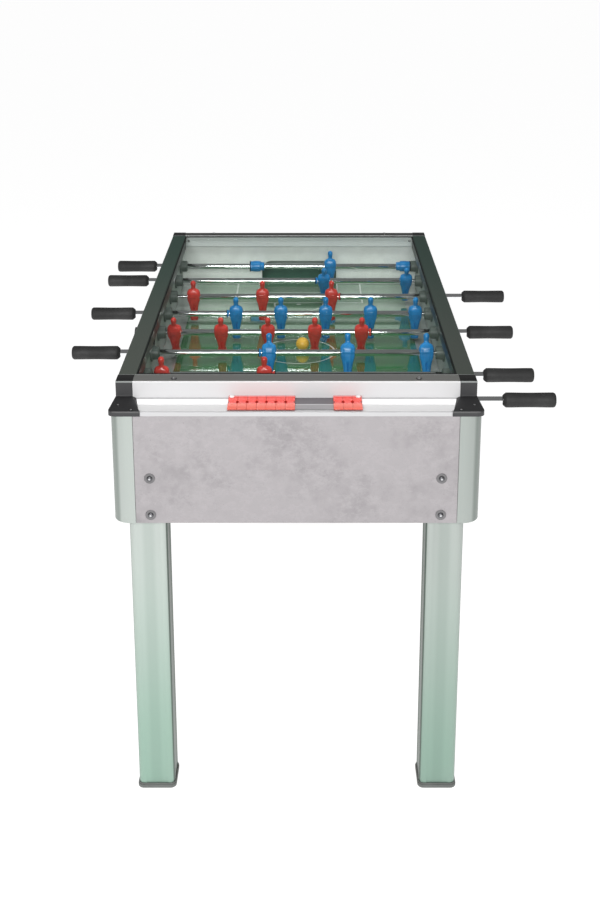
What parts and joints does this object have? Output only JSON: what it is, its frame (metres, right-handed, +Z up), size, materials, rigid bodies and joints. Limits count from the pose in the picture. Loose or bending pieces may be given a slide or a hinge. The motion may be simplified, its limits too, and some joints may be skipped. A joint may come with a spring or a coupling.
{
  "type": "foosball table",
  "caption": "Free-standing foosball table with telescopic player rods under glass, sliding score counters on both ends, square aluminium legs and a ball inlet in one side.",
  "frame": {"origin": "on the floor, under the centre of the table", "axes": "+Z up, +X across the table along the rods towards the red team's grips, +Y along the table from the front goal to the back goal"},
  "size_m": [1.113, 1.447, 0.95],
  "materials": {
    "satin_aluminium": "satin anodised",
    "foot_plastic": "moulded",
    "cap_plastic": "moulded",
    "concrete_laminate": "laminated board with a mottled concrete look",
    "rail_green": "semi-gloss dark grey-green",
    "wall_grey": "pale laminate",
    "end_bar_grey": "semi-gloss dark grey",
    "fascia_aluminium": "bright satin",
    "safety_glass": "toughened, clear",
    "field_green": "glossy printed field",
    "plain_board": "raw board",
    "core_steel": "bright ground steel",
    "red_players": "moulded, on a chromed tube",
    "blue_players": "moulded, on a chromed tube",
    "grip_black": "matt black",
    "ball_yellow": "hard plastic, slightly matt",
    "bead_red": "translucent red"
  },
  "bodies": {
    "cabinet": {"leg_front_left": "satin_aluminium", "leg_front_right": "satin_aluminium", "leg_back_left": "satin_aluminium", "leg_back_right": "satin_aluminium", "foot_front_left": "foot_plastic", "foot_front_right": "foot_plastic", "foot_back_left": "foot_plastic", "foot_back_right": "foot_plastic", "corner_post_front_left": "satin_aluminium", "corner_post_front_right": "satin_aluminium", "corner_post_back_left": "satin_aluminium", "corner_post_back_right": "satin_aluminium", "corner_cap_front_left": "cap_plastic", "corner_cap_front_right": "cap_plastic", "corner_cap_back_left": "cap_plastic", "corner_cap_back_right": "cap_plastic", "side_panel_left": "concrete_laminate", "side_panel_right": "concrete_laminate", "end_panel_front": "concrete_laminate", "end_panel_back": "concrete_laminate", "goal_wall_front": "wall_grey", "goal_wall_back": "wall_grey", "side_rail_left": "rail_green", "side_rail_right": "rail_green", "end_bar_front": "end_bar_grey", "end_bar_back": "end_bar_grey", "end_fascia_front": "fascia_aluminium", "end_fascia_back": "fascia_aluminium", "glass_top": "safety_glass", "playfield": "field_green", "bottom_board": "plain_board", "ball_inlet": "cap_plastic"},
    "red_keeper_core": {"red_keeper_core_rod": "core_steel"},
    "red_keeper_row": {"red_keeper_rod": "red_players", "red_keeper_grip": "grip_black"},
    "red_defence_core": {"red_defence_core_rod": "core_steel"},
    "red_defence_row": {"red_defence_rod": "red_players", "red_defence_grip": "grip_black"},
    "blue_attack_core": {"blue_attack_core_rod": "core_steel"},
    "blue_attack_row": {"blue_attack_rod": "blue_players", "blue_attack_grip": "grip_black"},
    "red_midfield_core": {"red_midfield_core_rod": "core_steel"},
    "red_midfield_row": {"red_midfield_rod": "red_players", "red_midfield_grip": "grip_black"},
    "blue_midfield_core": {"blue_midfield_core_rod": "core_steel"},
    "blue_midfield_row": {"blue_midfield_rod": "blue_players", "blue_midfield_grip": "grip_black"},
    "red_attack_core": {"red_attack_core_rod": "core_steel"},
    "red_attack_row": {"red_attack_rod": "red_players", "red_attack_grip": "grip_black"},
    "blue_defence_core": {"blue_defence_core_rod": "core_steel"},
    "blue_defence_row": {"blue_defence_rod": "blue_players", "blue_defence_grip": "grip_black"},
    "blue_keeper_core": {"blue_keeper_core_rod": "core_steel"},
    "blue_keeper_row": {"blue_keeper_rod": "blue_players", "blue_keeper_grip": "grip_black"},
    "ball": {"ball": "ball_yellow"},
    "score_beads_front_left": {"score_beads_front_left": "bead_red"},
    "score_beads_front_right": {"score_beads_front_right": "bead_red"},
    "score_beads_back": {"score_beads_back": "bead_red"}
  },
  "joints": [
    {"name": "red_keeper_spin", "type": "hinge", "parent": "cabinet", "child": "red_keeper_core", "pos_m": [0, -0.5474, 0.87], "axis": [1, 0, 0], "continuous": true},
    {"name": "red_keeper_slide", "type": "slide", "parent": "red_keeper_core", "child": "red_keeper_row", "axis": [1, 0, 0], "range_m": [-0.026, 0.1604]},
    {"name": "red_defence_spin", "type": "hinge", "parent": "cabinet", "child": "red_defence_core", "pos_m": [0, -0.391, 0.87], "axis": [1, 0, 0], "continuous": true},
    {"name": "red_defence_slide", "type": "slide", "parent": "red_defence_core", "child": "red_defence_row", "axis": [1, 0, 0], "range_m": [-0.004, 0.3826]},
    {"name": "blue_attack_spin", "type": "hinge", "parent": "cabinet", "child": "blue_attack_core", "pos_m": [0, -0.2346, 0.87], "axis": [1, 0, 0], "continuous": true},
    {"name": "blue_attack_slide", "type": "slide", "parent": "blue_attack_core", "child": "blue_attack_row", "axis": [1, 0, 0], "range_m": [-0.2386, 0.004]},
    {"name": "red_midfield_spin", "type": "hinge", "parent": "cabinet", "child": "red_midfield_core", "pos_m": [0, -0.0782, 0.87], "axis": [1, 0, 0], "continuous": true},
    {"name": "red_midfield_slide", "type": "slide", "parent": "red_midfield_core", "child": "red_midfield_row", "axis": [1, 0, 0], "range_m": [-0.003, 0.1464]},
    {"name": "blue_midfield_spin", "type": "hinge", "parent": "cabinet", "child": "blue_midfield_core", "pos_m": [0, 0.0782, 0.87], "axis": [1, 0, 0], "continuous": true},
    {"name": "blue_midfield_slide", "type": "slide", "parent": "blue_midfield_core", "child": "blue_midfield_row", "axis": [1, 0, 0], "range_m": [-0.1434, 0.006]},
    {"name": "red_attack_spin", "type": "hinge", "parent": "cabinet", "child": "red_attack_core", "pos_m": [0, 0.2346, 0.87], "axis": [1, 0, 0], "continuous": true},
    {"name": "red_attack_slide", "type": "slide", "parent": "red_attack_core", "child": "red_attack_row", "axis": [1, 0, 0], "range_m": [-0.026, 0.2166]},
    {"name": "blue_defence_spin", "type": "hinge", "parent": "cabinet", "child": "blue_defence_core", "pos_m": [0, 0.391, 0.87], "axis": [1, 0, 0], "continuous": true},
    {"name": "blue_defence_slide", "type": "slide", "parent": "blue_defence_core", "child": "blue_defence_row", "axis": [1, 0, 0], "range_m": [-0.3796, 0.007]},
    {"name": "blue_keeper_spin", "type": "hinge", "parent": "cabinet", "child": "blue_keeper_core", "pos_m": [0, 0.5474, 0.87], "axis": [1, 0, 0], "continuous": true},
    {"name": "blue_keeper_slide", "type": "slide", "parent": "blue_keeper_core", "child": "blue_keeper_row", "axis": [1, 0, 0], "range_m": [-0.1864, 0]},
    {"name": "ball_roll", "type": "slide", "parent": "cabinet", "child": "ball", "axis": [1, 0, 0], "range_m": [-0.345, 0.322]},
    {"name": "score_beads_front_left_slide", "type": "slide", "parent": "cabinet", "child": "score_beads_front_left", "axis": [1, 0, 0], "range_m": [0, 0.079]},
    {"name": "score_beads_front_right_slide", "type": "slide", "parent": "cabinet", "child": "score_beads_front_right", "axis": [1, 0, 0], "range_m": [-0.079, 0]},
    {"name": "score_beads_back_slide", "type": "slide", "parent": "cabinet", "child": "score_beads_back", "axis": [1, 0, 0], "range_m": [0, 0.079]}
  ]
}
